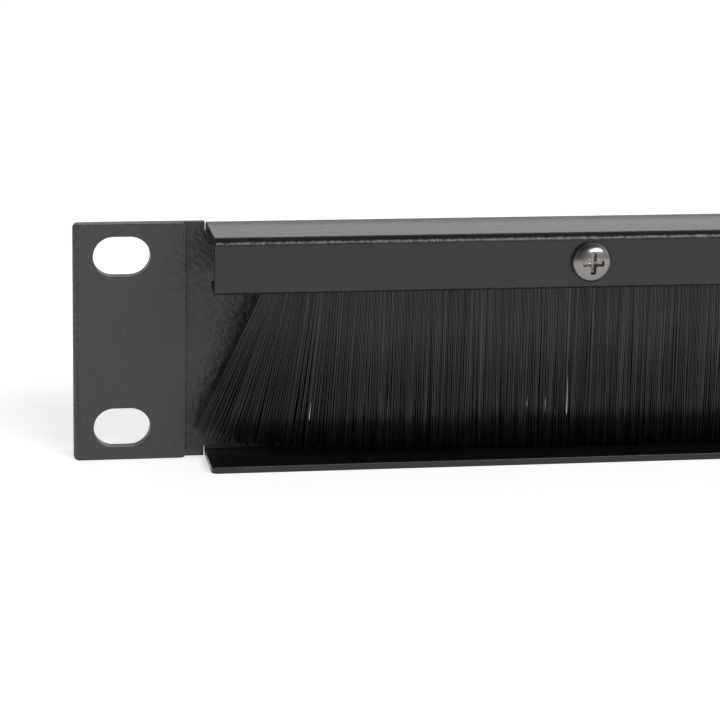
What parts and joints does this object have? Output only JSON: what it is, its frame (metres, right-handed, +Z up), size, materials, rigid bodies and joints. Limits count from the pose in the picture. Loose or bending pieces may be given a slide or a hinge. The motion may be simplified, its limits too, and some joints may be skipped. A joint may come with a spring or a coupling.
{
  "type": "rack brush strip panel",
  "caption": "One-unit rack panel folded from black steel, with a nylon brush strip hanging in front of a long cable window.",
  "frame": {"origin": "centre of the four rack slots, on the back face of the ears, which seats on the rack rails", "axes": "+X along the panel to the right as seen from the front, +Y into the rack, so the front faces -Y, +Z up"},
  "size_m": [0.4826, 0.0183, 0.0436],
  "materials": {
    "powder_coated_steel": "fine-textured satin black powder coat",
    "anodised_carrier": "black anodised extrusion",
    "zinc_plated_steel": "zinc plated",
    "nylon_bristle": "black nylon filament, slight sheen",
    "nickel_plated_screw": "bright nickel plating"
  },
  "bodies": {
    "root": {"panel": "powder_coated_steel", "carrier": "anodised_carrier", "strip_back": "zinc_plated_steel", "core_wire": "zinc_plated_steel", "bristles": "nylon_bristle", "screw_left": "nickel_plated_screw", "screw_centre": "nickel_plated_screw", "screw_right": "nickel_plated_screw"}
  },
  "joints": []
}
